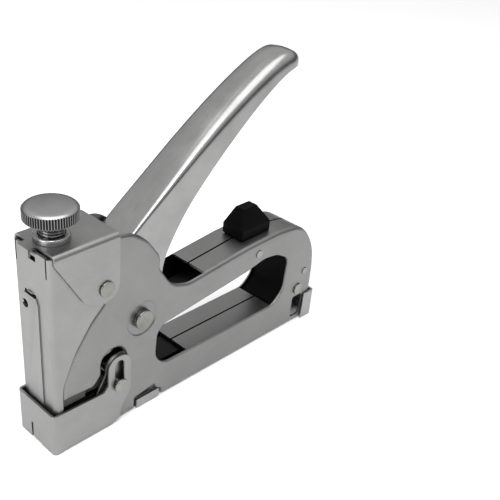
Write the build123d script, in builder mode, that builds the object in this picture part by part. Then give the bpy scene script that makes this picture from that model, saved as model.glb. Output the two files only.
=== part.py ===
"""Hand staple gun: pressed steel body, squeeze lever, sprung striker and slide-out magazine.

X runs from the nose (0) to the rear, Y across the body, Z up from the surface it stands on.
"""

from build123d import *
import os

os.makedirs("parts", exist_ok=True)

# ---------------------------------------------------------------- driving dimensions (mm)
sheet = 1.15            # thickness of the body plates
body_half = 11.55       # half width over the body plates
body_inner = body_half - sheet
over_half = 12.85       # half width over the cap, the nose gate and the rear clip
over_inner = body_half + 0.15
floor_gap = 0.4         # the body plates stop this far above the base
rear_x = 165.2          # rear edge of the body plates
nose_face = 2.3         # front face of the nose cover
cap_top = 94.4
cap_plate = 1.2
cap_front, cap_rear = 4.0, 34.4

pivot_x, pivot_z = 47.6, 48.4           # lever pivot
link_x, link_z = 34.4, 20.8             # nose gate pin
slot_top = 30.95        # upper end of the pin slots, on the slot centre
block_x = 122.05        # middle of the stop block
rib_y = 1.4             # the nose rib stands a little to the far side
cap_rivet_x, cap_rivet_z = 27.6, 72.0
block_pin_x, block_pin_z = 119.9, 53.2
rear_pin_x, rear_pin_z = 157.9, 29.6
rear_rivet_x, rear_rivet_z = 154.0, 20.2

lever_half = 9.3        # half width over the lever cheeks
lever_sheet = 1.2
arm_x, arm_z = 25.3, 39.6               # lifting roller at rest
roller_r = 2.5

knob_x = 12.1           # axis of the power screw
knob_r = 10.8
knob_top = 108.3
knob_rim = 5.8
stem_r = 5.2
seat_z = 86.0           # underside of the spring seat

channel_half = 6.9      # staple channel, outside
channel_top = 16.2
rail_half = 4.7         # staple rail, outside
rail_bottom, rail_top = 2.0, 14.2
rail_sheet = 1.0
rail_play = 0.25        # gap between the rail and the pusher
staple_front = 5.4
clip_front, clip_rear, clip_top = 159.0, 167.4, 15.3
pusher_x = 46.0         # front of the pusher against a full strip
feed_length = 100.0     # pusher spring at rest


def save(piece, name):
    piece.part.label = name
    export_step(piece.part, f"parts/{name}.step")


# ---------------------------------------------------------------- body plates
# Corner list of a closed outline: (x, z, corner radius).
def outline(corners):
    points = [(x, z) for x, z, r in corners]
    return FilletPolyline(points, radius=[r for x, z, r in corners], close=True)


seam = [(6.1, 25.2, 0.3), (6.3, 33.0, 20), (12.6, 46.8, 40), (21.1, 58.6, 30), (27.6, 64.6, 1.0)]
head_front = [(x + 0.1, z, r) for x, z, r in seam] + [(22.1, 71.5, 1.0), (22.1, 92.9, 0.5)]
shoulder = [(33.0, 92.9, 8), (41.5, 91.3, 12), (50.0, 85.2, 20), (57.4, 75.0, 6), (57.2, 69.0, 5),
            (64.5, 58.5, 12), (74.0, 55.4, 14)]
loop_outside = [(112.0, 59.4, 80), (134.0, 60.2, 50), (152.0, 58.2, 20), (162.9, 44.0, 30),
                (rear_x - 0.1, 30.0, 36), (rear_x, 16.0, 4), (161.5, floor_gap, 1.0)]
tab_notch = [(60.4, floor_gap, 0.4), (60.4, 3.2, 0.5), (57.0, 5.2, 0.5), (55.8, 7.8, 0.5),
             (44.8, 6.0, 0.5), (44.8, floor_gap, 0.3)]
arm_window = [(34.8, floor_gap, 0.3), (34.8, 7.0, 2.0), (38.2, 12.0, 3.0), (38.2, 39.4, 5.4),
              (26.3, 39.1, 5.4), (26.3, 29.0, 4.0),
              (21.8, 24.3, 3.0)]
finger_hole = [(55.6, 17.9, 9), (57.0, 39.3, 6), (113.0, 45.9, 30), (124.5, 48.6, 14), (134.0, 47.5, 13),
               (143.6, 42.0, 7), (142.2, 24.0, 8), (135.5, 17.9, 7)]
hole_rear = [(133.7, 12.0, 0.5), (133.7, 30.0, 0.5), (126.5, 36.0, 0.5), (126.5, 53.0, 0.5), (149.0, 51.5, 8), (148.0, 12.0, 0.5)]

with BuildPart() as left_shell:
    with BuildSketch(Plane.XZ):
        with BuildLine():
            outline(head_front + shoulder + loop_outside + tab_notch + arm_window)
        make_face()
        with BuildLine():
            outline(finger_hole)
        make_face(mode=Mode.SUBTRACT)
    extrude(amount=body_half)
    near = left_shell.faces().sort_by(Axis.Y)[0]
    loop_bends = near.outer_wire().edges().filter_by(
        lambda e: e.center().X > 82 and (e.center().Z > 17 or e.center().X > 158))
    fillet(loop_bends, 2.0)
    near = left_shell.faces().filter_by(Plane.XZ).sort_by(Axis.Y)[0]
    fillet(near.inner_wires()[0].edges(), 0.9)
    # pocket behind the side plate, leaving flanges along the loop and the floor of the hole
    with BuildSketch(Plane.XZ):
        with BuildLine():
            outline(head_front + shoulder + loop_outside + tab_notch + arm_window)
        make_face()
        offset(amount=-sheet, mode=Mode.REPLACE)
        with BuildLine():
            outline([(x + dx, z + dz, r + sheet) for (x, z, r), (dx, dz) in zip(finger_hole, [
                (-1.2, -1.2), (-1.2, 1.2), (0, 1.2), (0, 1.2), (0.3, 1.2), (1.2, 0.8), (1.2, -0.6),
                (0.6, -1.2)])])
        make_face(mode=Mode.SUBTRACT)
    extrude(amount=body_inner, mode=Mode.SUBTRACT)
    # the two pressings stop short of each other along the middle
    with BuildSketch(Plane.XZ):
        with Locations((90, 50)):
            Rectangle(240, 140)
    extrude(amount=0.45, mode=Mode.SUBTRACT)
    # no flanges round the head, at the front and rear of the hole or along the base
    with BuildSketch(Plane.XZ):
        with BuildLine():
            Polyline([(-5, -5), (170, -5), (170, 16.4), (76, 16.4), (76, 30), (84.5, 50), (84.5, 100),
                      (-5, 100)], close=True)
        make_face()
        with BuildLine():
            outline(hole_rear)
        make_face()
    extrude(amount=body_inner, mode=Mode.SUBTRACT)
    # neck of the stop block, and the rivet and pin holes
    with BuildSketch(Plane.XY.offset(55)):
        with Locations((block_x, 0)):
            Rectangle(17.4, 12.0)
    extrude(amount=8, mode=Mode.SUBTRACT)
    for x, z, r in ((pivot_x, pivot_z, 3.0), (cap_rivet_x, cap_rivet_z, 2.0), (block_pin_x, block_pin_z, 1.5),
                    (rear_pin_x, rear_pin_z, 1.5), (rear_rivet_x, rear_rivet_z, 2.0)):
        with BuildSketch(Plane.XZ):
            with Locations((x, z)):
                Circle(r)
        extrude(amount=body_half + 1, mode=Mode.SUBTRACT)
    # dished seat round the pivot head
    with BuildSketch(Plane.XZ.offset(body_half)):
        with Locations((pivot_x, pivot_z)):
            Circle(8.3)
    extrude(amount=-0.5, taper=45, mode=Mode.SUBTRACT)
    # window for the rear clip
    with BuildSketch(Plane.XZ):
        with Locations((154.6, 9.6)):
            RectangleRounded(7.4, 12.6, 1.6)
    extrude(amount=body_half + 1, mode=Mode.SUBTRACT)
save(left_shell, "left_shell")

with BuildPart() as right_shell:
    mirror(left_shell.part, about=Plane.XZ)
save(right_shell, "right_shell")

# ---------------------------------------------------------------- nose cover and cap
with BuildPart() as nose_cover:
    with BuildSketch(Plane.XY.offset(19.6)):
        with Locations((nose_face, 0)):
            Rectangle(30, 2 * body_half, align=(Align.MIN, Align.CENTER))
    extrude(amount=73.3)
    front_edges = nose_cover.edges().filter_by(Axis.Z).group_by(Axis.X)[0]
    fillet(front_edges, 2.0)
    with BuildSketch(Plane.XY.offset(19.6)):
        with Locations((nose_face + sheet, 0)):
            Rectangle(40, 2 * body_inner, align=(Align.MIN, Align.CENTER))
    extrude(amount=80, mode=Mode.SUBTRACT)
    with BuildSketch(Plane.XZ):
        with BuildLine():
            outline([(0.5, 19.6, 0.2), (5.0, 19.6, 0.2), (6.0, 21.6, 0.6)]
                    + [(x - 0.1, z, r) for x, z, r in seam]
                    + [(21.9, 71.3, 1.0), (21.9, 92.9, 0.4), (0.5, 92.9, 0.2)])
        make_face()
    extrude(amount=20, both=True, mode=Mode.INTERSECT)
    # pressed rib with an arched top, a louvre over it, a round hole and the tab slot
    with BuildSketch(Plane.YZ.offset(nose_face - 0.55)):
        with Locations((rib_y, 45.3)):
            Rectangle(10.4, 47.6)
        with Locations((rib_y, 69.1)):
            Circle(5.2)
    extrude(amount=0.6)
    with BuildSketch(Plane.YZ.offset(nose_face - 1)):
        with Locations((rib_y + 3.4, 67.3)):
            Circle(1.9)
        with Locations((rib_y, 73.2)):
            Rectangle(7.6, 1.4)
        with Locations((rib_y, 89.9)):
            Rectangle(9.0, 2.2)
        with Locations((-9.6, 89.5), (9.6, 89.5)):
            Rectangle(0.7, 10.0)
    extrude(amount=4, mode=Mode.SUBTRACT)
save(nose_cover, "nose_cover")

with BuildPart() as top_cap:
    with BuildSketch(Plane.YZ.offset(cap_front)):
        with Locations((0, 60)):
            Rectangle(2 * over_half, cap_top - 60, align=(Align.CENTER, Align.MIN))
    extrude(amount=cap_rear - cap_front)
    fillet(top_cap.edges().filter_by(Axis.X).group_by(Axis.Z)[-1], 2.2)
    with BuildSketch(Plane.YZ):
        with Locations((0, 50)):
            Rectangle(2 * over_inner, cap_top - cap_plate - 50, align=(Align.CENTER, Align.MIN))
    extrude(amount=60, mode=Mode.SUBTRACT)
    with BuildSketch(Plane.XZ):
        with BuildLine():
            outline([(cap_front, 99, 1), (cap_front, 90.6, 0.5), (17.0, 69.4, 6), (23.5, 64.9, 6), (33.8, 67.0, 6),
                     (cap_rear, 76.0, 3), (cap_rear, 99, 1)])
        make_face()
    extrude(amount=20, both=True, mode=Mode.INTERSECT)
    with BuildSketch(Plane.XY.offset(90)):
        with Locations((knob_x, 0)):
            Circle(6.6)
    extrude(amount=10, mode=Mode.SUBTRACT)
    with BuildSketch(Plane.XZ):
        with Locations((cap_rivet_x, cap_rivet_z)):
            Circle(2.0)
    extrude(amount=20, both=True, mode=Mode.SUBTRACT)
    # front tab that hooks into the slot of the nose cover
    with BuildSketch(Plane.XY.offset(cap_top - cap_plate)):
        with Locations((cap_front + 0.1, rib_y)):
            Rectangle(cap_front + 0.1, 7.0, align=(Align.MAX, Align.CENTER))
    extrude(amount=cap_plate)
    with BuildSketch(Plane.XY.offset(cap_top - cap_plate - 2.2)):
        with Locations((0.0, rib_y)):
            Rectangle(1.2, 7.0, align=(Align.MIN, Align.CENTER))
    extrude(amount=2.4)
save(top_cap, "top_cap")


# Domed rivet head that stands on the plane |y| = base.
def rivet_head(x, z, r, base, height, side):
    with BuildSketch(Plane.XZ.offset(-side * base)) as disc:
        with Locations((x, z)):
            Circle(r)
    extrude(disc.sketch, amount=-side * height)


def cross_pin(x, z, r, half):
    with BuildSketch(Plane.XZ) as disc:
        with Locations((x, z)):
            Circle(r)
    extrude(disc.sketch, amount=half, both=True)


with BuildPart() as cap_rivets:
    for side in (-1, 1):
        rivet_head(cap_rivet_x, cap_rivet_z, 3.5, over_half, 1.0, side)
        rivet_head(cap_rivet_x, cap_rivet_z, 2.0, body_inner - 0.6, over_half + 0.1 - body_inner + 0.6, side)
        rivet_head(cap_rivet_x, cap_rivet_z, 2.9, body_inner - 0.6, 0.6, side)
    fillet(cap_rivets.edges().filter_by(GeomType.CIRCLE).filter_by(
        lambda e: abs(abs(e.center().Y) - over_half - 1.0) < 0.01), 0.4)
save(cap_rivets, "cap_rivets")

# ---------------------------------------------------------------- pins through the body
with BuildPart() as pivot_pin:
    cross_pin(pivot_x, pivot_z, 3.0, body_half + 1.4)
    for side in (-1, 1):
        rivet_head(pivot_x, pivot_z, 4.6, body_half - 0.5, 2.4, side)
    fillet(pivot_pin.edges().filter_by(GeomType.CIRCLE).filter_by(
        lambda e: abs(abs(e.center().Y) - body_half - 1.9) < 0.01), 0.5)
save(pivot_pin, "pivot_pin")

with BuildPart() as block_pin:
    cross_pin(block_pin_x, block_pin_z, 1.5, body_half + 0.35)
    for side in (-1, 1):
        rivet_head(block_pin_x, block_pin_z, 1.95, body_half, 0.45, side)
save(block_pin, "block_pin")

with BuildPart() as rear_pins:
    cross_pin(rear_pin_x, rear_pin_z, 1.5, body_half + 0.35)
    cross_pin(rear_rivet_x, rear_rivet_z, 2.0, body_half + 0.6)
    for side in (-1, 1):
        rivet_head(rear_pin_x, rear_pin_z, 1.85, body_half, 0.45, side)
        rivet_head(rear_rivet_x, rear_rivet_z, 3.0, body_half, 0.9, side)
save(rear_pins, "rear_pins")

with BuildPart() as rear_spacer:
    with BuildSketch(Plane.XZ):
        with Locations((rear_rivet_x, rear_rivet_z)):
            Circle(3.4)
            Circle(2.0, mode=Mode.SUBTRACT)
    extrude(amount=body_inner, both=True)
save(rear_spacer, "rear_spacer")

# ---------------------------------------------------------------- nose gate
gate_side = [(0.0, 0.0, 0.2), (4.2, 0.0, 0.3), (5.2, 0.7, 0.4), (30.2, 0.4, 0.6), (32.4, 1.7, 0.6),
             (34.4, 2.4, 0.6), (35.4, 8.0, 6), (40.6, 15.0, 5), (40.6, 35.7, 5.6), (28.4, 35.7, 5.6),
             (28.4, 22.6, 1.5),
             (26.0, 20.1, 1.0), (0.0, 20.9, 0.2)]

with BuildPart() as nose_gate:
    with BuildSketch(Plane.XY):
        Rectangle(50, 2 * over_half, align=(Align.MIN, Align.CENTER))
    extrude(amount=45)
    fillet(nose_gate.edges().filter_by(Axis.Z).group_by(Axis.X)[0], 2.0)
    with BuildSketch(Plane.XY):
        with Locations((sheet, 0)):
            Rectangle(60, 2 * over_inner + 0.1, align=(Align.MIN, Align.CENTER))
    extrude(amount=60, mode=Mode.SUBTRACT)
    with BuildSketch(Plane.XZ):
        with BuildLine():
            outline(gate_side)
        make_face()
    extrude(amount=20, both=True, mode=Mode.INTERSECT)
    # front face: sighting slot and the relief between the two feet
    with BuildSketch(Plane.YZ.offset(-1)):
        with Locations((rib_y + 1.8, 4.0)):
            Rectangle(1.2, 8.6)
        with BuildLine():
            Polyline([(-4.4, -1), (-3.0, 0.9), (rib_y + 1.8, 0.9), (rib_y + 1.8, -1)], close=True)
        make_face()
    extrude(amount=4, mode=Mode.SUBTRACT)
    # pin slots in the two arms
    with BuildSketch(Plane.XZ):
        with Locations((link_x, (link_z + slot_top) / 2)):
            SlotCenterToCenter(slot_top - link_z, 5.0, rotation=90)
    extrude(amount=20, both=True, mode=Mode.SUBTRACT)
save(nose_gate, "nose_gate")

with BuildPart() as gate_pin:
    cross_pin(link_x, link_z, 2.2, over_half + 1.0)
    for side in (-1, 1):
        rivet_head(link_x, link_z, 3.4, over_half + 0.5, 1.3, side)
    fillet(gate_pin.edges().filter_by(GeomType.CIRCLE).filter_by(
        lambda e: abs(abs(e.center().Y) - over_half - 1.8) < 0.01), 0.35)
save(gate_pin, "gate_pin")

with BuildPart() as gate_bracket:
    with BuildSketch(Plane.XZ.offset(body_inner - 1.0)):
        with BuildLine():
            outline([(24.2, 3.0, 0.5), (24.2, 19.0, 0.5), (29.0, 27.5, 2), (29.0, 35.2, 5.5),
                     (41.6, 35.2, 5.5), (41.6, 3.0, 0.5)])
        make_face()
        with Locations((link_x, link_z)):
            Circle(2.25, mode=Mode.SUBTRACT)
    extrude(amount=0.9)
    mirror(about=Plane.XZ)
    with BuildSketch(Plane.XY.offset(channel_top + 0.2)):
        with Locations((40.4, 0)):
            Rectangle(2.4, 2 * body_inner - 0.2)
    extrude(amount=1.2)
save(gate_bracket, "gate_bracket")

# ---------------------------------------------------------------- stop block
with BuildPart() as stop_block:
    # hand stop above the loop: a short straight foot, then a hipped top
    with BuildSketch(Plane.XY.offset(60.4)):
        with Locations((block_x, 0)):
            Rectangle(19.1, 13.0)
    extrude(amount=4.8)
    with BuildSketch(Plane.XY.offset(65.2)) as block_waist:
        with Locations((block_x, 0)):
            Rectangle(19.1, 13.0)
    with BuildSketch(Plane.XY.offset(74.0)) as block_crest:
        with Locations((120.6, 0)):
            Rectangle(9.0, 5.2)
    loft()
    fillet(stop_block.edges().filter_by(lambda e: e.center().Z > 61.0), 0.5)
    # neck between the flanges, and the insert that lines the rear of the finger hole
    with BuildSketch(Plane.XY.offset(54)):
        with Locations((block_x, 0)):
            Rectangle(16.8, 11.4)
    extrude(amount=6.5)
    with BuildSketch(Plane.XZ):
        with BuildLine():
            outline([(112.8, 49.0, 0.5), (124.0, 52.0, 10), (135.0, 50.4, 10), (145.0, 43.0, 8),
                     (143.6, 23.4, 8), (136.6, 17.2, 3), (134.0, 17.2, 0.2), (134.0, 16.5, 0.2),
                     (146.5, 16.5, 2), (149.5, 46.0, 6), (138.0, 57.0, 4), (112.8, 57.6, 0.5)])
        make_face()
    extrude(amount=body_inner - 0.15, both=True)
    with BuildSketch(Plane.XZ):
        with Locations((block_pin_x, block_pin_z)):
            Circle(1.5)
    extrude(amount=20, both=True, mode=Mode.SUBTRACT)
save(stop_block, "stop_block")

# ---------------------------------------------------------------- power screw
with BuildPart() as power_knob:
    with BuildSketch(Plane.XY.offset(knob_top - knob_rim)):
        with Locations((knob_x, 0)):
            Circle(knob_r)
    extrude(amount=knob_rim)
    chamfer(power_knob.edges().group_by(Axis.Z)[-1], 1.1)
    chamfer(power_knob.edges().group_by(Axis.Z)[0], 0.5)
    with BuildSketch(Plane.XY.offset(seat_z + 2.3)):
        with Locations((knob_x, 0)):
            Circle(stem_r)
    extrude(amount=knob_top - knob_rim - seat_z - 2.3)
    with BuildSketch(Plane.XY.offset(seat_z + 0.9)):
        with Locations((knob_x, 0)):
            Circle(2.2)
    extrude(amount=1.4)
save(power_knob, "power_knob")

with BuildPart() as power_nut:
    with BuildSketch(Plane.XY.offset(cap_top)):
        with Locations((knob_x, 0)):
            Circle(7.2)
    extrude(amount=2.6)
    chamfer(power_nut.edges().group_by(Axis.Z)[-1], 0.5)
    with BuildSketch(Plane.XY.offset(cap_top - 2.0)):
        with Locations((knob_x, 0)):
            Circle(6.6)
    extrude(amount=2.0)
    with BuildSketch(Plane.XY.offset(90)):
        with Locations((knob_x, 0)):
            Circle(stem_r + 0.06)
    extrude(amount=12, mode=Mode.SUBTRACT)
save(power_nut, "power_nut")

with BuildPart() as spring_seat:
    with BuildSketch(Plane.XY.offset(seat_z)):
        with Locations((knob_x, 0)):
            Circle(6.6)
            Circle(2.3, mode=Mode.SUBTRACT)
    extrude(amount=2.2)
    with BuildSketch(Plane.XY.offset(seat_z - 3.0)):
        with Locations((knob_x, 0)):
            Circle(3.7)
    extrude(amount=3.6)
save(spring_seat, "spring_seat")

# ---------------------------------------------------------------- striker
striker_top = 48.0
spring_bottom = striker_top
main_turns = 8
main_wire = 1.0
main_mean = 5.1

with BuildPart() as main_spring:
    spring_height = seat_z - spring_bottom - 2 * main_wire - 0.1
    with BuildLine():
        coil = Helix(pitch=spring_height / main_turns, height=spring_height, radius=main_mean,
                     center=(knob_x, 0, spring_bottom + main_wire + 0.05))
    with BuildSketch(Plane(origin=coil @ 0, z_dir=coil % 0)):
        Circle(main_wire)
    sweep(is_frenet=True)
save(main_spring, "main_spring")

with BuildPart() as striker:
    with BuildSketch(Plane.XZ):
        with BuildLine():
            outline([(5.0, 33.0, 0.4), (5.0, striker_top, 0.4), (29.6, striker_top, 2.0), (29.6, 33.0, 1.5)])
        make_face()
        with Locations((arm_x - 4.6, arm_z)):
            Rectangle(12, 2 * (roller_r + 0.35), align=(Align.MIN, Align.CENTER), mode=Mode.SUBTRACT)
    extrude(amount=7.7, both=True)
    with BuildSketch(Plane.XY.offset(striker_top)):
        with Locations((knob_x, 0)):
            Circle(3.7)
    extrude(amount=4.0)
save(striker, "striker")

with BuildPart() as driver_blade:
    with BuildSketch(Plane.XZ):
        with BuildLine():
            Polyline([(4.0, 2.2), (4.9, 2.2), (4.9, 46.0), (4.0, 46.0)], close=True)
        make_face()
    extrude(amount=5.9, both=True)
    with BuildSketch(Plane.XZ):
        with Locations((4.95, 44.0)):
            Rectangle(0.1, 3.0)
    extrude(amount=4.0, both=True)
save(driver_blade, "driver_blade")

with BuildPart() as striker_guide:
    with BuildSketch(Plane.XZ.offset(8.1)):
        with BuildLine():
            Polyline([(6.2, 21.4), (18.0, 21.4), (18.0, 30.0), (14.6, 34.0), (14.6, 90.6), (6.2, 90.6)],
                     close=True)
        make_face()
    extrude(amount=body_inner - 0.15 - 8.1)
    mirror(about=Plane.XZ)
    with BuildSketch(Plane.XZ):
        with BuildLine():
            Polyline([(6.2, 20.6), (30.0, 20.6), (30.0, 24.0), (6.2, 24.0)], close=True)
        make_face()
        with BuildLine():
            Polyline([(6.2, 89.0), (14.6, 89.0), (14.6, 90.6), (6.2, 90.6)], close=True)
        make_face()
    extrude(amount=8.2, both=True)
    with BuildSketch(Plane.XY.offset(85)):
        with Locations((knob_x, 0)):
            Circle(stem_r + 1.0)
    extrude(amount=10, mode=Mode.SUBTRACT)
save(striker_guide, "striker_guide")

with BuildPart() as bumper:
    with BuildSketch(Plane.XY.offset(24.0)):
        with Locations((18.2, 0)):
            RectangleRounded(23.4, 14.0, 2.0)
    extrude(amount=8.8)
    chamfer(bumper.edges().group_by(Axis.Z)[-1], 0.8)
save(bumper, "bumper")

# ---------------------------------------------------------------- lever
lever_top = [(40.4, 86.0), (92.0, 126.6), (112.0, 139.4), (127.0, 146.8), (138.0, 145.6), (141.0, 140.0)]
lever_under = [(136.0, 138.6, 2), (118.0, 131.4, 40), (99.0, 116.6, 60), (76.0, 94.6, 40), (63.6, 77.0, 12)]
cheek = [(60.0, 69.0, 8), (57.6, 47.5, 9), (48.5, 38.6, 9), (38.0, 38.6, 6), (26.2, 35.0, 3.8),
         (20.5, 37.6, 3.6), (23.6, 44.2, 3.6), (35.5, 51.0, 10), (38.6, 64.0, 20), (39.4, 79.0, 6)]

with BuildPart() as lever:
    with BuildSketch(Plane.XZ):
        with BuildLine():
            FilletPolyline(*lever_top, radius=[60, 40, 24, 5])
            Polyline([lever_top[-1], (133.0, 139.0), (120.0, 132.7), (110.0, 129.5), (92.0, 116.2),
                      (45.2, 78.8), lever_top[0]])
        make_face()
    extrude(amount=lever_half, both=True)
    crown_edges = lever.edges().filter_by(
        lambda e: abs(abs(e.center().Y) - lever_half) < 0.01 and e.center().X > 45
        and e.center().Z > min(125 + 0.81 * (e.center().X - 100), 125 + 0.41 * (e.center().X - 100)))
    fillet(crown_edges, 3.0)
    # the cheeks hang from the crown and reach forward to the lifting roller
    with BuildSketch(Plane.XZ):
        with BuildLine():
            outline([(43.8, 84.6, 1.5), (94.0, 124.2, 60), (113.0, 136.0, 40), (127.0, 142.6, 20),
                     (137.0, 142.0, 1.2)] + lever_under + cheek)
        make_face()
    extrude(amount=lever_half, both=True)
    # rounded end in plan
    with BuildSketch(Plane.XY):
        with BuildLine():
            outline([(10, -lever_half, 0.5), (10, lever_half, 0.5), (141.5, lever_half, 8.0),
                     (141.5, -lever_half, 8.0)])
        make_face()
    extrude(amount=200, mode=Mode.INTERSECT)
    # inside of the channel, open underneath and at the front
    with BuildSketch(Plane.XZ):
        with BuildLine():
            outline([(30.0, 79.2, 0.5), (39.0, 83.4, 0.5), (92.0, 125.1, 60), (112.0, 137.9, 40),
                     (127.0, 145.2, 20), (136.6, 144.2, 5), (139.4, 139.4, 1.0), (141.0, 120.0, 1.0),
                     (100.0, 60.0, 1.0), (62.0, 20.0, 1.0), (10.0, 20.0, 1.0), (10.0, 60.0, 1.0)])
        make_face()
    extrude(amount=lever_half - lever_sheet, both=True, mode=Mode.SUBTRACT)
    for x, z, r in ((pivot_x, pivot_z, 3.06), (arm_x, arm_z, 1.5)):
        with BuildSketch(Plane.XZ):
            with Locations((x, z)):
                Circle(r)
        extrude(amount=20, both=True, mode=Mode.SUBTRACT)
save(lever, "lever")

with BuildPart() as pivot_bush:
    with BuildSketch(Plane.XZ):
        with Locations((pivot_x, pivot_z)):
            Circle(5.2)
            Circle(3.06, mode=Mode.SUBTRACT)
    extrude(amount=lever_half - lever_sheet, both=True)
save(pivot_bush, "pivot_bush")

with BuildPart() as roller_pin:
    cross_pin(arm_x, arm_z, 1.5, lever_half)
save(roller_pin, "roller_pin")

with BuildPart() as lift_roller:
    with BuildSketch(Plane.XZ):
        with Locations((arm_x, arm_z)):
            Circle(roller_r)
            Circle(1.5, mode=Mode.SUBTRACT)
    extrude(amount=7.4, both=True)
save(lift_roller, "lift_roller")

with BuildPart() as lever_spring:
    with BuildLine():
        loop_coil = Helix(pitch=2.0, height=10.0, radius=6.4, center=(pivot_x, -5.0, pivot_z),
                          direction=(0, 1, 0))
    with BuildSketch(Plane(origin=loop_coil @ 0, z_dir=loop_coil % 0)):
        Circle(0.7)
    sweep(is_frenet=True)
save(lever_spring, "lever_spring")

# ---------------------------------------------------------------- magazine
channel_front, channel_rear = 6.2, 149.0

with BuildPart() as staple_channel:
    with BuildSketch(Plane.YZ.offset(channel_front)):
        with Locations((0, 1.2)):
            Rectangle(2 * channel_half, channel_top - 1.2, align=(Align.CENTER, Align.MIN))
        with Locations((0, 0)):
            Rectangle(2 * channel_half - 1.6, channel_top - 0.9, align=(Align.CENTER, Align.MIN),
                      mode=Mode.SUBTRACT)
    extrude(amount=channel_rear - channel_front)
    # side tabs that hook up into the notches of the body plates
    for side in (-1, 1):
        with BuildSketch(Plane.YZ.offset(45.4)):
            with BuildLine():
                Polyline([(side * 6.3, 0.0), (side * body_half, 0.0), (side * body_half, 4.8),
                          (side * (body_half - 1.1), 4.8), (side * (body_half - 1.1), 1.2),
                          (side * 6.9, 1.2), (side * 6.9, 3.0), (side * 6.3, 3.0)], close=True)
            make_face()
        extrude(amount=13.2)
save(staple_channel, "staple_channel")

with BuildPart() as nose_guide:
    with BuildSketch(Plane.XZ):
        with BuildLine():
            Polyline([(1.4, 1.6), (3.7, 1.6), (3.7, 18.8), (1.4, 18.8)], close=True)
        make_face()
    extrude(amount=8.6, both=True)
    with BuildSketch(Plane.XZ.offset(8.0)):
        with BuildLine():
            Polyline([(1.4, 1.6), (24.0, 1.6), (24.0, 18.8), (1.4, 18.8)], close=True)
        make_face()
    extrude(amount=1.1)
    with BuildSketch(Plane.XZ.offset(-8.0)):
        with BuildLine():
            Polyline([(1.4, 1.6), (24.0, 1.6), (24.0, 18.8), (1.4, 18.8)], close=True)
        make_face()
    extrude(amount=-1.1)
save(nose_guide, "nose_guide")

with BuildPart() as magazine_rail:
    with BuildSketch(Plane.YZ.offset(staple_front)):
        with Locations((0, rail_bottom)):
            Rectangle(2 * rail_half, rail_top - rail_bottom, align=(Align.CENTER, Align.MIN))
            Rectangle(2 * (rail_half - rail_sheet), rail_top - rail_bottom - rail_sheet,
                      align=(Align.CENTER, Align.MIN), mode=Mode.SUBTRACT)
    extrude(amount=166.0 - staple_front)
    with BuildSketch(Plane.YZ.offset(staple_front)):
        with Locations((0, 7.6)):
            Rectangle(2 * rail_half - 0.4, 7.0)
            Circle(1.2, mode=Mode.SUBTRACT)
    extrude(amount=1.2)
save(magazine_rail, "magazine_rail")

with BuildPart() as rear_clip:
    with BuildSketch(Plane.XY):
        with Locations((clip_front, 0)):
            Rectangle(clip_rear - clip_front, 2 * over_half, align=(Align.MIN, Align.CENTER))
    extrude(amount=clip_top)
    fillet(rear_clip.edges().filter_by(Axis.Z).group_by(Axis.X)[-1], 1.8)
    with BuildSketch(Plane.XY):
        with Locations((clip_front, 0)):
            Rectangle(clip_rear - clip_front - 1.3, 2 * over_inner, align=(Align.MIN, Align.CENTER))
    extrude(amount=clip_top, mode=Mode.SUBTRACT)
    fillet(rear_clip.edges().filter_by(Axis.Y).group_by(Axis.X)[0].group_by(Axis.Z)[-1], 2.0)
save(rear_clip, "rear_clip")

with BuildPart() as pusher_rod:
    with BuildSketch(Plane.YZ.offset(staple_front)):
        with Locations((0, 7.6)):
            Circle(1.2)
    extrude(amount=166.1 - staple_front)
save(pusher_rod, "pusher_rod")

with BuildPart() as pusher:
    with BuildSketch(Plane.YZ.offset(pusher_x)):
        with Locations((0, 0.9)):
            Rectangle(11.4, 14.0, align=(Align.CENTER, Align.MIN))
        for side in (-1, 1):
            with Locations((side * (rail_half - rail_sheet / 2), rail_bottom - rail_play)):
                Rectangle(rail_sheet + 2 * rail_play, rail_top - rail_bottom + 2 * rail_play,
                          align=(Align.CENTER, Align.MIN), mode=Mode.SUBTRACT)
        with Locations((0, rail_top - rail_sheet - rail_play)):
            Rectangle(2 * rail_half, rail_sheet + 2 * rail_play, align=(Align.CENTER, Align.MIN),
                      mode=Mode.SUBTRACT)
        with Locations((0, 7.6)):
            Circle(1.3, mode=Mode.SUBTRACT)
    extrude(amount=9.0)
save(pusher, "pusher")

with BuildPart() as pusher_spring:
    with BuildLine():
        feed_coil = Helix(pitch=4.0, height=feed_length, radius=2.2, center=(pusher_x + 9.6, 0, 7.6),
                          direction=(1, 0, 0))
    with BuildSketch(Plane(origin=feed_coil @ 0, z_dir=feed_coil % 0)):
        Circle(0.4)
    sweep(is_frenet=True)
save(pusher_spring, "pusher_spring")

with BuildPart() as staple_strip:
    with BuildSketch(Plane.YZ.offset(staple_front + 0.05)):
        with Locations((0, 5.0)):
            Rectangle(11.4, 10.0, align=(Align.CENTER, Align.MIN))
        with Locations((0, 4.9)):
            Rectangle(10.2, 9.5, align=(Align.CENTER, Align.MIN), mode=Mode.SUBTRACT)
    extrude(amount=pusher_x - staple_front - 0.3)
save(staple_strip, "staple_strip")
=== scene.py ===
import math
import bmesh
import bpy
from mathutils import Matrix, Vector


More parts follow.
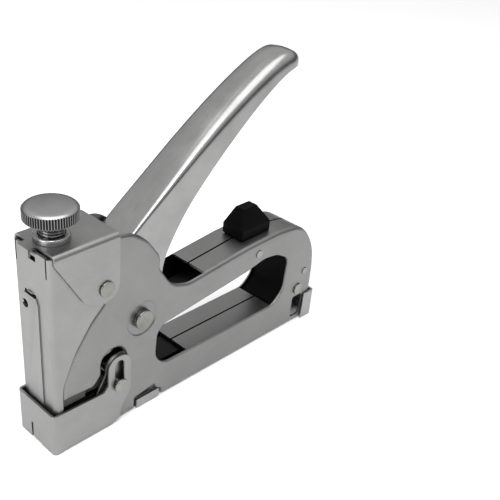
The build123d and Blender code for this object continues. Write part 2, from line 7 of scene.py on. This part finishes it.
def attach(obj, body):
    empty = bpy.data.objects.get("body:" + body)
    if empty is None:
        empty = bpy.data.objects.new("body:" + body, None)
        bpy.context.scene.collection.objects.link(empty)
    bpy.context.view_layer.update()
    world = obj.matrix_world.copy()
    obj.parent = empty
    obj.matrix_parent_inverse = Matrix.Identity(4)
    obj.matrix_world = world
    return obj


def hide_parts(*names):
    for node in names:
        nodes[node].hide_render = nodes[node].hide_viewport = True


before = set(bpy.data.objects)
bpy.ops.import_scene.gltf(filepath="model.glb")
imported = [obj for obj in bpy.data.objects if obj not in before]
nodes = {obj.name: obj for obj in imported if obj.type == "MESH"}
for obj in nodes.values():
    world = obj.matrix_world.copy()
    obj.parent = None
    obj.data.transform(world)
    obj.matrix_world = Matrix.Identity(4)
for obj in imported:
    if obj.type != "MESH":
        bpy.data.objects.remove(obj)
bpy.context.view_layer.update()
mm = 0.001


# ---- shared shader groups

def newGroup(name, inputs, outputs):
    # an empty node group with its sockets made
    group = bpy.data.node_groups.new(name, "ShaderNodeTree")
    for label, kind, value in inputs:
        socket = group.interface.new_socket(label, in_out="INPUT", socket_type=kind)
        if value is not None:
            socket.default_value = value
    for label, kind in outputs:
        group.interface.new_socket(label, in_out="OUTPUT", socket_type=kind)
    return group, group.nodes.new("NodeGroupInput"), group.nodes.new("NodeGroupOutput")


def addNode(tree, kind, **values):
    node = tree.nodes.new(kind)
    for key, value in values.items():
        setattr(node, key, value)
    return node


def mathNode(tree, operation, first, second, clamp=False):
    # first and second are sockets or plain numbers
    node = addNode(tree, "ShaderNodeMath", operation=operation, use_clamp=clamp)
    for index, value in enumerate((first, second)):
        if isinstance(value, (int, float)):
            node.inputs[index].default_value = value
        else:
            tree.links.new(value, node.inputs[index])
    return node.outputs[0]


def addNoise(tree, vector, scale, detail):
    # scale is a socket or a plain number
    node = addNode(tree, "ShaderNodeTexNoise")
    node.inputs["Detail"].default_value = detail
    tree.links.new(vector, node.inputs["Vector"])
    if isinstance(scale, (int, float)):
        node.inputs["Scale"].default_value = scale
    else:
        tree.links.new(scale, node.inputs["Scale"])
    return node


def addRamp(tree, factor, stops):
    # stops are (position, colour), the lowest first
    ramp = addNode(tree, "ShaderNodeValToRGB")
    while len(ramp.color_ramp.elements) < len(stops):
        ramp.color_ramp.elements.new(0.5)
    for element, (position, colour) in zip(ramp.color_ramp.elements, stops):
        element.position = position
        element.color = (*colour, 1)
    tree.links.new(factor, ramp.inputs[0])
    return ramp.outputs[0]


def addBump(tree, shader, height, strength, distance):
    bump = addNode(tree, "ShaderNodeBump")
    bump.inputs["Strength"].default_value = strength
    bump.inputs["Distance"].default_value = distance
    tree.links.new(height, bump.inputs["Height"])
    tree.links.new(bump.outputs[0], shader.inputs["Normal"])


rolled = {"grainDetail": 3.0, "blotchDetail": 4.0, "blotchRough": 0.62, "speck": 1500.0, "speckDetail": 2.0}


def makeRolledGrain():
    # fine stretched grain and soft blotches of rolled, plated sheet
    group, given, result = newGroup(
        "rolledGrain",
        [("Vector", "NodeSocketVector", None), ("Grain Scale", "NodeSocketFloat", 900.0),
         ("Blotch Scale", "NodeSocketFloat", 55.0), ("Stretch", "NodeSocketVector", (0.12, 1.0, 1.0))],
        [("Grain", "NodeSocketFloat"), ("Blotch", "NodeSocketFloat"), ("Speck", "NodeSocketFloat")])
    place = given.outputs["Vector"]
    stretched = addNode(group, "ShaderNodeVectorMath", operation="MULTIPLY")
    group.links.new(place, stretched.inputs[0])
    group.links.new(given.outputs["Stretch"], stretched.inputs[1])
    grain = addNoise(group, stretched.outputs[0], given.outputs["Grain Scale"], rolled["grainDetail"])
    blotch = addNoise(group, place, given.outputs["Blotch Scale"], rolled["blotchDetail"])
    blotch.inputs["Roughness"].default_value = rolled["blotchRough"]
    speck = addNoise(group, place, rolled["speck"], rolled["speckDetail"])
    for label, noise in (("Grain", grain), ("Blotch", blotch), ("Speck", speck)):
        group.links.new(noise.outputs["Fac"], result.inputs[label])
    return group


# how far a face may turn from the middle plane and still take painted shade, how sharp the change is, and the
# height in mm above which nothing is painted dark, so that the shoulder behind the cap stays bright
innerLimits = {"turn": 0.45, "sharpness": 8.0, "height": 74.0}


def makeInnerShade():
    # painted shade: 1 on outer faces, 0 on faces inside the plates that look at the middle plane, which are
    # painted dark
    group, given, result = newGroup(
        "innerShade",
        [("Position", "NodeSocketVector", None), ("Facing", "NodeSocketVector", None)],
        [("Outer", "NodeSocketFloat")])
    split = addNode(group, "ShaderNodeSeparateXYZ")
    group.links.new(given.outputs["Position"], split.inputs[0])
    turned = addNode(group, "ShaderNodeSeparateXYZ")
    group.links.new(given.outputs["Facing"], turned.inputs[0])
    side = mathNode(group, "SIGN", split.outputs["Y"], 0.0)
    outward = mathNode(group, "MULTIPLY", side, turned.outputs["Y"])
    inward = mathNode(group, "MULTIPLY", mathNode(group, "ADD", outward, innerLimits["turn"]),
                      -innerLimits["sharpness"], clamp=True)
    low = mathNode(group, "LESS_THAN", split.outputs["Z"], innerLimits["height"] * mm)
    inward = mathNode(group, "MULTIPLY", inward, low)
    group.links.new(mathNode(group, "SUBTRACT", 1.0, inward), result.inputs["Outer"])
    return group


rolledGrain = makeRolledGrain()
innerShade = makeInnerShade()
print("shader groups made")


# ---- finishes

plate = {
    "tone": (0.285, 0.285, 0.282), "dark": (0.245, 0.245, 0.243), "rough": 0.38, "roughSpread": 0.10,
    "bump": 0.06, "grain": 900.0, "grainShare": 0.15, "stretch": (0.35, 1.0, 1.0), "shade": None,
}
magazineTones = {"tone": (0.33, 0.33, 0.328), "dark": (0.28, 0.28, 0.278), "rough": 0.34}
knobTones = {"tone": (0.33, 0.33, 0.33), "dark": (0.28, 0.28, 0.28), "rough": 0.27,
             "stretch": (1.0, 1.0, 1.0)}
finishes = {
    # shade says where painted shade goes: the inside of the plates, the channel above 9 mm, or the knurl and
    # thread grooves
    "bodyPlate": dict(plate),
    # the shells take a darker copy of the plate tone as painted shade on the sides, and their inner faces
    # also get painted shade
    "shellPlate": dict(plate, tone=(0.235, 0.235, 0.233), dark=(0.205, 0.205, 0.203), shade="inside"),
    "leverPlate": dict(plate, tone=(0.315, 0.315, 0.312), dark=(0.255, 0.255, 0.253), rough=0.25,
                       grainShare=0.3, stretch=(0.2, 1.0, 0.2)),
    "gatePlate": dict(plate),
    "magazinePlate": dict(plate, **magazineTones),
    "channelPlate": dict(plate, **magazineTones, shade="above"),
    "brightPin": dict(plate, tone=(0.30, 0.297, 0.283), dark=(0.17, 0.167, 0.155), rough=0.22,
                      roughSpread=0.16, stretch=(1.0, 1.0, 1.0), grain=600.0),
    "knobSteel": dict(plate, **knobTones),
    "grooveSteel": dict(plate, **knobTones, shade="groove"),
    "springWire": dict(plate, tone=(0.30, 0.30, 0.305), dark=(0.20, 0.20, 0.20), rough=0.3,
                       stretch=(1.0, 1.0, 1.0)),
    "hardSteel": dict(plate, tone=(0.15, 0.15, 0.145), dark=(0.09, 0.09, 0.09), rough=0.42),
    "stapleWire": dict(plate, tone=(0.60, 0.60, 0.61), dark=(0.46, 0.46, 0.46), rough=0.26,
                       stretch=(1.0, 1.0, 1.0)),
}
metalWork = {"darkFrom": 0.32, "paleFrom": 0.66, "paintedShadeTone": (0.012, 0.012, 0.012, 1), "channelShadeHeight": 9.0,
             "bumpDepth": 0.2}


def shadeMask(tree, coordinates, shade):
    # 1 where the metal keeps its own tone, 0 where painted shade darkens it
    # inside: painted shade on the plates' inner faces that look at the middle plane
    if shade == "inside":
        inner = addNode(tree, "ShaderNodeGroup", node_tree=innerShade)
        tree.links.new(coordinates.outputs["Object"], inner.inputs["Position"])
        tree.links.new(coordinates.outputs["Normal"], inner.inputs["Facing"])
        return inner.outputs["Outer"]
    # groove: painted shade in the knurl and thread grooves, read from the mesh
    if shade == "groove":
        return addNode(tree, "ShaderNodeAttribute", attribute_name="grooveShadeMask").outputs["Fac"]
    # otherwise painted shade on the channel above a set height, where it lies in the dark cavity of the body
    split = addNode(tree, "ShaderNodeSeparateXYZ")
    tree.links.new(coordinates.outputs["Object"], split.inputs[0])
    return mathNode(tree, "LESS_THAN", split.outputs["Z"], metalWork["channelShadeHeight"] * mm)


def makeMetal(name, finish):
    material = bpy.data.materials.new(name)
    material.use_nodes = True
    tree = material.node_tree
    shader = tree.nodes["Principled BSDF"]
    shader.inputs["Metallic"].default_value = 1.0
    coordinates = addNode(tree, "ShaderNodeTexCoord")
    grain = addNode(tree, "ShaderNodeGroup", node_tree=rolledGrain)
    grain.inputs["Grain Scale"].default_value = finish["grain"]
    grain.inputs["Stretch"].default_value = finish["stretch"]
    tree.links.new(coordinates.outputs["Object"], grain.inputs["Vector"])
    mixed = mathNode(tree, "ADD", mathNode(tree, "MULTIPLY", grain.outputs["Grain"], finish["grainShare"]),
                     mathNode(tree, "MULTIPLY", grain.outputs["Blotch"], 1 - finish["grainShare"]))
    colour = addRamp(tree, mixed, [(metalWork["darkFrom"], finish["dark"]),
                                   (metalWork["paleFrom"], finish["tone"])])
    rough = mathNode(tree, "ADD", finish["rough"] - finish["roughSpread"] / 2,
                     mathNode(tree, "MULTIPLY", grain.outputs["Blotch"], finish["roughSpread"]))
    # painted shade: the dark tone is mixed in where the shade mask is 0
    if finish["shade"]:
        dim = addNode(tree, "ShaderNodeMix", data_type="RGBA")
        dim.inputs[6].default_value = metalWork["paintedShadeTone"]
        tree.links.new(shadeMask(tree, coordinates, finish["shade"]), dim.inputs[0])
        tree.links.new(colour, dim.inputs[7])
        colour = dim.outputs[2]
    tree.links.new(colour, shader.inputs["Base Color"])
    tree.links.new(rough, shader.inputs["Roughness"])
    addBump(tree, shader, grain.outputs["Speck"], finish["bump"], metalWork["bumpDepth"] * mm)
    return material


plastics = {
    # name: tone, roughness, gloss
    "blackPlastic": ((0.002, 0.002, 0.002), 0.5, 0.05),
    "guidePlastic": ((0.05, 0.048, 0.04), 0.5, 0.4),
    "bumperRubber": ((0.045, 0.04, 0.025), 0.7, 0.4),
}
moulded = {"grain": 1800.0, "detail": 3.0, "roughSpread": 0.12, "bump": 0.25, "bumpDepth": 0.1,
           "darkest": 0.7, "palest": 1.4}


def makePlastic(name, tone, rough, gloss):
    # moulded plastic or rubber with a fine eroded texture
    material = bpy.data.materials.new(name)
    material.use_nodes = True
    tree = material.node_tree
    shader = tree.nodes["Principled BSDF"]
    shader.inputs["Specular IOR Level"].default_value = gloss
    place = addNode(tree, "ShaderNodeTexCoord").outputs["Object"]
    noise = addNoise(tree, place, moulded["grain"], moulded["detail"]).outputs["Fac"]
    colour = addRamp(tree, noise, [(0.0, [c * moulded["darkest"] for c in tone]),
                                   (1.0, [c * moulded["palest"] for c in tone])])
    tree.links.new(colour, shader.inputs["Base Color"])
    rough = mathNode(tree, "ADD", rough - moulded["roughSpread"] / 2,
                     mathNode(tree, "MULTIPLY", noise, moulded["roughSpread"]))
    tree.links.new(rough, shader.inputs["Roughness"])
    addBump(tree, shader, noise, moulded["bump"], moulded["bumpDepth"] * mm)
    return material


materials = {name: makeMetal(name, finish) for name, finish in finishes.items()}
materials |= {name: makePlastic(name, *values) for name, values in plastics.items()}
print("finishes made")


def dress(piece, material):
    piece.data.materials.clear()
    piece.data.materials.append(materials[material])


def finishPiece(mesh, name, material, body, replaced=()):
    # turns a bmesh into a piece that rides on a body
    data = bpy.data.meshes.new(name)
    mesh.to_mesh(data)
    mesh.free()
    piece = bpy.data.objects.new(name, data)
    bpy.context.scene.collection.objects.link(piece)
    dress(piece, material)
    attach(piece, body)
    if replaced:
        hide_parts(*replaced)
    return piece


def roundEdges(piece, radius, angle):
    # radius in mm; edges sharper than the angle in degrees are rounded
    edge = piece.modifiers.new("edge", "BEVEL")
    edge.width = radius * mm
    edge.segments = 2
    edge.limit_method = "ANGLE"
    edge.angle_limit = math.radians(angle)
    edge.harden_normals = True


def shadeSmooth(piece, angle=35):
    for polygon in piece.data.polygons:
        polygon.use_smooth = True
    for edge in piece.data.edges:
        edge.use_edge_sharp = False
    piece.data.set_sharp_from_angle(angle=math.radians(angle))


# ---- plates and pins taken from the frame, with their cut edges rounded

softened = {
    # node: body, finish, slot, edge radius in mm
    "left_shell": ("frame", "shellPlate", "body_steel", 0.22),
    "right_shell": ("frame", "shellPlate", "body_steel", 0.22),
    "nose_cover": ("frame", "bodyPlate", "body_steel", 0.22),
    "top_cap": ("frame", "bodyPlate", "body_steel", 0.25),
    "nose_gate": ("gate", "gatePlate", "gate_steel", 0.25),
    "gate_bracket": ("frame", "gatePlate", "gate_steel", 0.2),
    "staple_channel": ("frame", "channelPlate", "magazine_steel", 0.2),
    "rear_clip": ("magazine", "magazinePlate", "magazine_steel", 0.3),
    "cap_rivets": ("frame", "brightPin", "bright_pins", 0.3),
    "pivot_pin": ("frame", "brightPin", "bright_pins", 0.3),
    "gate_pin": ("gate_pin", "brightPin", "bright_pins", 0.25),
    "block_pin": ("frame", "brightPin", "bright_pins", 0.2),
    "rear_pins": ("frame", "brightPin", "bright_pins", 0.3),
    "power_nut": ("frame", "knobSteel", "knob_steel", 0.3),
    "stop_block": ("frame", "blackPlastic", "block_plastic", 0.4),
}
merging = {"distance": 0.002, "flatAngle": 0.8, "edgeAngle": 40}


def softenEdges(node, body, material, radius):
    mesh = bmesh.new()
    mesh.from_mesh(nodes[node].data)
    bmesh.ops.remove_doubles(mesh, verts=mesh.verts, dist=merging["distance"] * mm)
    bmesh.ops.dissolve_limit(mesh, angle_limit=math.radians(merging["flatAngle"]), verts=mesh.verts,
                             edges=mesh.edges)
    piece = finishPiece(mesh, node + "_soft", material, body, (node,))
    shadeSmooth(piece)
    roundEdges(piece, radius, merging["edgeAngle"])


for node, (body, material, slot, radius) in softened.items():
    softenEdges(node, body, material, radius)
print("plates softened")

plain = {
    "rear_spacer": "brightPin", "roller_pin": "brightPin", "lift_roller": "brightPin",
    "pivot_bush": "brightPin", "spring_seat": "knobSteel", "bumper": "bumperRubber",
    "striker_guide": "guidePlastic", "striker": "hardSteel", "driver_blade": "hardSteel",
    "main_spring": "springWire", "lever_spring": "springWire",
    "pusher_spring": "springWire", "nose_guide": "hardSteel",
    "magazine_rail": "magazinePlate", "pusher_rod": "magazinePlate",
    "pusher": "magazinePlate",
}
for node, material in plain.items():
    dress(nodes[node], material)
print("frame nodes dressed")

# ---- squeeze lever: one pressed channel, flat at its root and crowned and domed at its tip

leverShape = {
    "halfWidth": 9.25, "sheet": 1.2, "along": 110, "crownSteps": 10, "bendSteps": 7, "cheekSteps": 8,
    "domeStart": 129.0, "domeLength": 12.1, "domeLeast": 0.004, "bendOfDepth": 0.7, "bendOfHalf": 0.6,
    "edge": 0.25, "edgeAngle": 60,
    # top line x, z; lower edge x, z; crown rise; bend radius
    "stations": [
        (40.4, 86.0, 38.8, 60.0, 0.15, 1.5), (41.5, 86.9, 38.4, 48.5, 0.15, 1.5),
        (43.0, 88.1, 47.6, 39.8, 0.2, 1.6), (45.0, 89.7, 56.8, 47.0, 0.2, 1.6),
        (47.5, 91.8, 59.4, 59.5, 0.25, 1.7), (50.5, 94.2, 60.6, 69.0, 0.3, 1.8),
        (55.0, 97.8, 64.2, 77.6, 0.45, 2.0), (65.0, 105.8, 73.0, 90.8, 0.8, 2.5),
        (78.0, 116.0, 84.6, 103.2, 1.3, 3.2), (92.0, 126.2, 97.6, 115.2, 1.8, 4.0),
        (105.0, 134.6, 109.6, 125.2, 2.1, 4.7), (117.0, 141.3, 120.4, 132.9, 2.3, 5.2),
        (125.5, 144.9, 127.6, 137.0, 2.3, 5.4), (131.0, 145.9, 132.2, 138.6, 2.0, 5.0),
        (135.4, 144.9, 135.8, 138.9, 1.5, 4.0), (138.4, 142.9, 138.2, 138.7, 0.9, 2.6),
        (140.2, 140.6, 139.8, 138.3, 0.35, 1.2), (141.0, 138.6, 140.8, 137.9, 0.05, 0.3),
    ],
}


def smoothBetween(rows, amount):
    # one row of numbers read from a smooth line through all the rows, amount from 0 to 1
    reach = amount * (len(rows) - 1)
    index = min(int(reach), len(rows) - 2)
    part = reach - index
    before, start, end, after = (rows[min(max(index + step, 0), len(rows) - 1)] for step in (-1, 0, 1, 2))
    return [0.5 * (2 * b + (c - a) * part + (2 * a - 5 * b + 4 * c - d) * part ** 2
                   + (3 * b - a - 3 * c + d) * part ** 3)
            for a, b, c, d in zip(before, start, end, after)]


def leverPoint(along, around):
    # around runs from 0 at the crown's middle to 1 at the lower edge
    topX, topZ, lowX, lowZ, rise, bend = smoothBetween(leverShape["stations"], along)
    top = Vector((topX, 0, topZ))
    down = Vector((lowX, 0, lowZ)) - top
    depth = down.length
    down.normalize()
    inDome = max(0.0, (topX - leverShape["domeStart"]) / leverShape["domeLength"])
    half = leverShape["halfWidth"] * math.sqrt(max(1 - inDome ** 2, leverShape["domeLeast"]))
    bend = min(bend, depth * leverShape["bendOfDepth"], half * leverShape["bendOfHalf"])
    crown, corner, cheek = leverShape["crownSteps"], leverShape["bendSteps"], leverShape["cheekSteps"]
    step = around * (crown + corner + cheek)
    if step <= crown:
        aside = (half - bend) * step / crown
        sink = rise * (aside / half) ** 2
    elif step <= crown + corner:
        turn = (step - crown) / corner * math.pi / 2
        aside = half - bend + bend * math.sin(turn)
        sink = rise * ((half - bend) / half) ** 2 + bend * (1 - math.cos(turn))
    else:
        start = rise * ((half - bend) / half) ** 2 + bend
        aside = half
        sink = start + (depth - start) * (step - crown - corner) / cheek
    return top + down * min(sink, depth), aside


def makeLever():
    rows = leverShape["crownSteps"] + leverShape["bendSteps"] + leverShape["cheekSteps"]
    mesh = bmesh.new()
    bmesh.ops.create_grid(mesh, x_segments=leverShape["along"], y_segments=2 * rows, size=1.0)
    for vert in mesh.verts:
        around = round(vert.co.y * rows) / rows
        place, aside = leverPoint((vert.co.x + 1) / 2, abs(around))
        vert.co = Vector((place.x, math.copysign(aside, around) if around else 0.0, place.z)) * mm
    top = max(mesh.faces, key=lambda face: face.calc_center_median().z)
    top.normal_update()
    if top.normal.z < 0:
        bmesh.ops.reverse_faces(mesh, faces=mesh.faces)
    piece = finishPiece(mesh, "lever_channel", "leverPlate", "lever", ("lever",))
    shadeSmooth(piece, leverShape["edgeAngle"])
    wall = piece.modifiers.new("wall", "SOLIDIFY")
    wall.thickness = leverShape["sheet"] * mm
    wall.offset = -1
    roundEdges(piece, leverShape["edge"], leverShape["edgeAngle"])


# the two arms that reach forward from the pivot to the lifting roller
arms = {
    "outline": [(46.0, 57.0), (36.5, 52.5), (24.0, 43.4), (21.8, 40.4), (22.0, 37.4), (24.6, 35.6),
                (27.6, 35.7), (38.5, 38.9), (50.0, 40.5)],
    "inside": 8.1, "outside": 9.3, "edge": 0.15,
}


def makeArms():
    mesh = bmesh.new()
    for side in (-1, 1):
        corners = [mesh.verts.new((x * mm, side * arms["inside"] * mm, z * mm)) for x, z in arms["outline"]]
        sheet = mesh.faces.new(corners)
        grown = bmesh.ops.extrude_face_region(mesh, geom=[sheet])
        moved = [item for item in grown["geom"] if isinstance(item, bmesh.types.BMVert)]
        bmesh.ops.translate(mesh, verts=moved, vec=(0, side * (arms["outside"] - arms["inside"]) * mm, 0))
    bmesh.ops.recalc_face_normals(mesh, faces=mesh.faces)
    bmesh.ops.bevel(mesh, geom=mesh.edges[:], offset=arms["edge"] * mm, affect="EDGES", segments=2,
                    profile=0.5, material=-1)
    shadeSmooth(finishPiece(mesh, "lever_arms", "leverPlate", "lever", ("lever",)))


makeLever()
makeArms()
print("lever made")

# ---- power screw: knurled knob on a threaded stem

screw = {
    "x": 12.1, "top": 108.3, "rim": 5.8, "radius": 10.75, "stem": 5.15, "tip": 2.2, "bottom": 86.9,
    "seat": 88.3, "ridges": 64, "perRidge": 4, "knurlDepth": 0.32, "pitch": 1.25, "threadDepth": 0.45,
    "perPitch": 6,
    "smoothAngle": 28,
    # painted shade on the knurl and thread: how much of their own tone the ridges keep, and how much darker
    # their grooves are painted
    "knurlCrestMask": 0.8, "knurlGrooveShade": 1.6, "threadCrestMask": 0.75, "threadGrooveShade": 0.7,
}


def makeScrew():
    top, rim, radius = screw["top"], screw["rim"], screw["radius"]
    under = top - rim
    profile = [(0.0, top), (radius - 2.6, top), (radius - 1.5, top - 0.12), (radius - 0.75, top - 0.5),
               (radius - 0.3, top - 0.85), (radius, top - 1.15), (radius, top - 2.0), (radius, top - 3.2),
               (radius, under + 0.7), (radius - 0.4, under + 0.3), (radius - 1.0, under),
               (screw["stem"] + 1.0, under), (screw["stem"], under - 0.4)]
    turns = int((under - 0.4 - screw["seat"]) / screw["pitch"] * screw["perPitch"])
    step = (under - 0.4 - screw["seat"]) / turns
    profile += [(screw["stem"], under - 0.4 - step * (row + 1)) for row in range(turns)]
    profile += [(screw["tip"], screw["seat"] - 0.02), (screw["tip"], screw["bottom"]), (0.0, screw["bottom"])]
    mesh = bmesh.new()
    corners = [mesh.verts.new((r * mm, 0, z * mm)) for r, z in profile]
    line = [mesh.edges.new(pair) for pair in zip(corners, corners[1:])]
    bmesh.ops.spin(mesh, geom=corners + line, cent=(0, 0, 0), axis=(0, 0, 1), angle=2 * math.pi,
                   steps=screw["ridges"] * screw["perRidge"], use_merge=True, use_duplicate=False)
    bmesh.ops.remove_doubles(mesh, verts=mesh.verts, dist=0.001 * mm)
    bmesh.ops.recalc_face_normals(mesh, faces=mesh.faces)
    # painted shade: the knurl and thread grooves are painted dark through this mask, and 1 keeps the steel's
    # tone
    grooveShadeMask = mesh.verts.layers.float.new("grooveShadeMask")
    for vert in mesh.verts:
        vert[grooveShadeMask] = 1.0
        out = math.hypot(vert.co.x, vert.co.y) / mm
        height = vert.co.z / mm
        turn = math.atan2(vert.co.y, vert.co.x)
        change = 0.0
        if out > radius - 0.1:
            depth = 0.5 - 0.5 * math.cos(turn * screw["ridges"])
            change = -screw["knurlDepth"] * depth
            vert[grooveShadeMask] = max(0.0, screw["knurlCrestMask"] - screw["knurlGrooveShade"] * depth)
        elif abs(out - screw["stem"]) < 0.05 and height < under - 0.5:
            phase = (height / screw["pitch"] + turn / (2 * math.pi)) % 1.0
            depth = abs(2 * phase - 1)
            change = -screw["threadDepth"] * depth
            vert[grooveShadeMask] = screw["threadCrestMask"] - screw["threadGrooveShade"] * depth
        if change:
            vert.co.x *= (out + change) / out
            vert.co.y *= (out + change) / out
    bmesh.ops.translate(mesh, verts=mesh.verts, vec=(screw["x"] * mm, 0, 0))
    piece = finishPiece(mesh, "knob_screw", "grooveSteel", "knob", ("power_knob",))
    shadeSmooth(piece, screw["smoothAngle"])


makeScrew()
print("power screw made")

# ---- staples on the rail, each a bent wire

staples = {"front": 5.5, "count": 58, "pitch": 0.69, "wire": 0.6, "half": 5.7, "top": 15.0,
           "leg": 10.0, "crown": 0.5}


def makeStaples():
    mesh = bmesh.new()
    half, inner = staples["half"], staples["half"] - staples["wire"]
    top, under, foot = staples["top"], staples["top"] - staples["crown"], staples["top"] - staples["leg"]
    shape = [(-half, foot), (-half, top), (half, top), (half, foot), (inner, foot), (inner, under),
             (-inner, under), (-inner, foot)]
    for index in range(staples["count"]):
        start = (staples["front"] + index * staples["pitch"]) * mm
        bent = mesh.faces.new([mesh.verts.new((start, y * mm, z * mm)) for y, z in shape])
        grown = bmesh.ops.extrude_face_region(mesh, geom=[bent])
        moved = [item for item in grown["geom"] if isinstance(item, bmesh.types.BMVert)]
        bmesh.ops.translate(mesh, verts=moved, vec=(staples["wire"] * mm, 0, 0))
    bmesh.ops.recalc_face_normals(mesh, faces=mesh.faces)
    finishPiece(mesh, "staple_row", "stapleWire", "frame", ("staple_strip",))


makeStaples()
print("staples made")

# ---- floor, lights and camera

room = {
    "floorTone": 0.95, "floorRough": 0.9, "floorGloss": 0.1, "floorHalf": 4.0,
    "lampTarget": (0.08, 0.0, 0.06),
    "sky": [(0.0, 0.10), (0.30, 0.30), (0.54, 0.92), (1.0, 1.0)],  # height of the direction, brightness
}


def makeFloor():
    mesh = bmesh.new()
    bmesh.ops.create_grid(mesh, x_segments=1, y_segments=1, size=room["floorHalf"])
    data = bpy.data.meshes.new("floor")
    mesh.to_mesh(data)
    mesh.free()
    floor = bpy.data.objects.new("floor", data)
    bpy.context.scene.collection.objects.link(floor)
    material = bpy.data.materials.new("paleFloor")
    material.use_nodes = True
    shader = material.node_tree.nodes["Principled BSDF"]
    shader.inputs["Base Color"].default_value = (room["floorTone"],) * 3 + (1,)
    shader.inputs["Roughness"].default_value = room["floorRough"]
    shader.inputs["Specular IOR Level"].default_value = room["floorGloss"]
    floor.data.materials.append(material)


def addLamp(name, place, target, size, power):
    data = bpy.data.lights.new(name, "AREA")
    data.shape = "RECTANGLE"
    data.size, data.size_y = size
    data.energy = power
    lamp = bpy.data.objects.new(name, data)
    lamp.matrix_world = Matrix.Translation(Vector(place)) @ (
        Vector(place) - Vector(target)).to_track_quat("Z", "Y").to_matrix().to_4x4()
    bpy.context.scene.collection.objects.link(lamp)


lamps = {
    # name: place, size, power
    "overheadBox": ((0.0, -0.15, 0.9), (0.9, 0.7), 5.0),
    "noseSide": ((-0.85, -0.05, 0.35), (0.5, 0.6), 4.4),
    "leverStreak": ((-0.18, -0.24, 0.60), (0.20, 0.12), 0.9),
}


def makeLights():
    for name, (place, size, power) in lamps.items():
        addLamp(name, place, room["lampTarget"], size, power)
    world = bpy.data.worlds.new("softRoom")
    world.use_nodes = True
    tree = world.node_tree
    split = addNode(tree, "ShaderNodeSeparateXYZ")
    tree.links.new(addNode(tree, "ShaderNodeTexCoord").outputs["Generated"], split.inputs[0])
    sky = addRamp(tree, split.outputs["Z"], [(height, (light,) * 3) for height, light in room["sky"]])
    tree.links.new(sky, tree.nodes["Background"].inputs[0])
    bpy.context.scene.world = world


view = {
    "target": (0.080, 0.0, 0.045), "azimuth": -44.743, "elevation": 32.672, "roll": 3.128,
    "distance": 0.359039, "lens": 56.909, "shiftX": 0.1404, "shiftY": 0.0748,
    "sensor": 36, "nearest": 0.01,
}


def makeCamera():
    turn, lift = math.radians(view["azimuth"]), math.radians(view["elevation"])
    back = Vector((math.sin(turn) * math.cos(lift), -math.cos(turn) * math.cos(lift), math.sin(lift)))
    right = (-back).cross(Vector((0, 0, 1))).normalized()
    up = right.cross(-back)
    roll = math.radians(view["roll"])
    across = math.cos(roll) * right + math.sin(roll) * up
    upright = -math.sin(roll) * right + math.cos(roll) * up
    axes = Matrix((across, upright, back)).transposed().to_4x4()
    data = bpy.data.cameras.new("camera")
    data.lens, data.sensor_width = view["lens"], view["sensor"]
    data.shift_x, data.shift_y = view["shiftX"], view["shiftY"]
    data.clip_start = view["nearest"]
    camera = bpy.data.objects.new("camera", data)
    camera.matrix_world = Matrix.Translation(Vector(view["target"]) + view["distance"] * back) @ axes
    bpy.context.scene.collection.objects.link(camera)
    bpy.context.scene.camera = camera


makeFloor()
makeLights()
makeCamera()
bpy.context.scene.view_settings.view_transform = "Standard"
print("room ready")
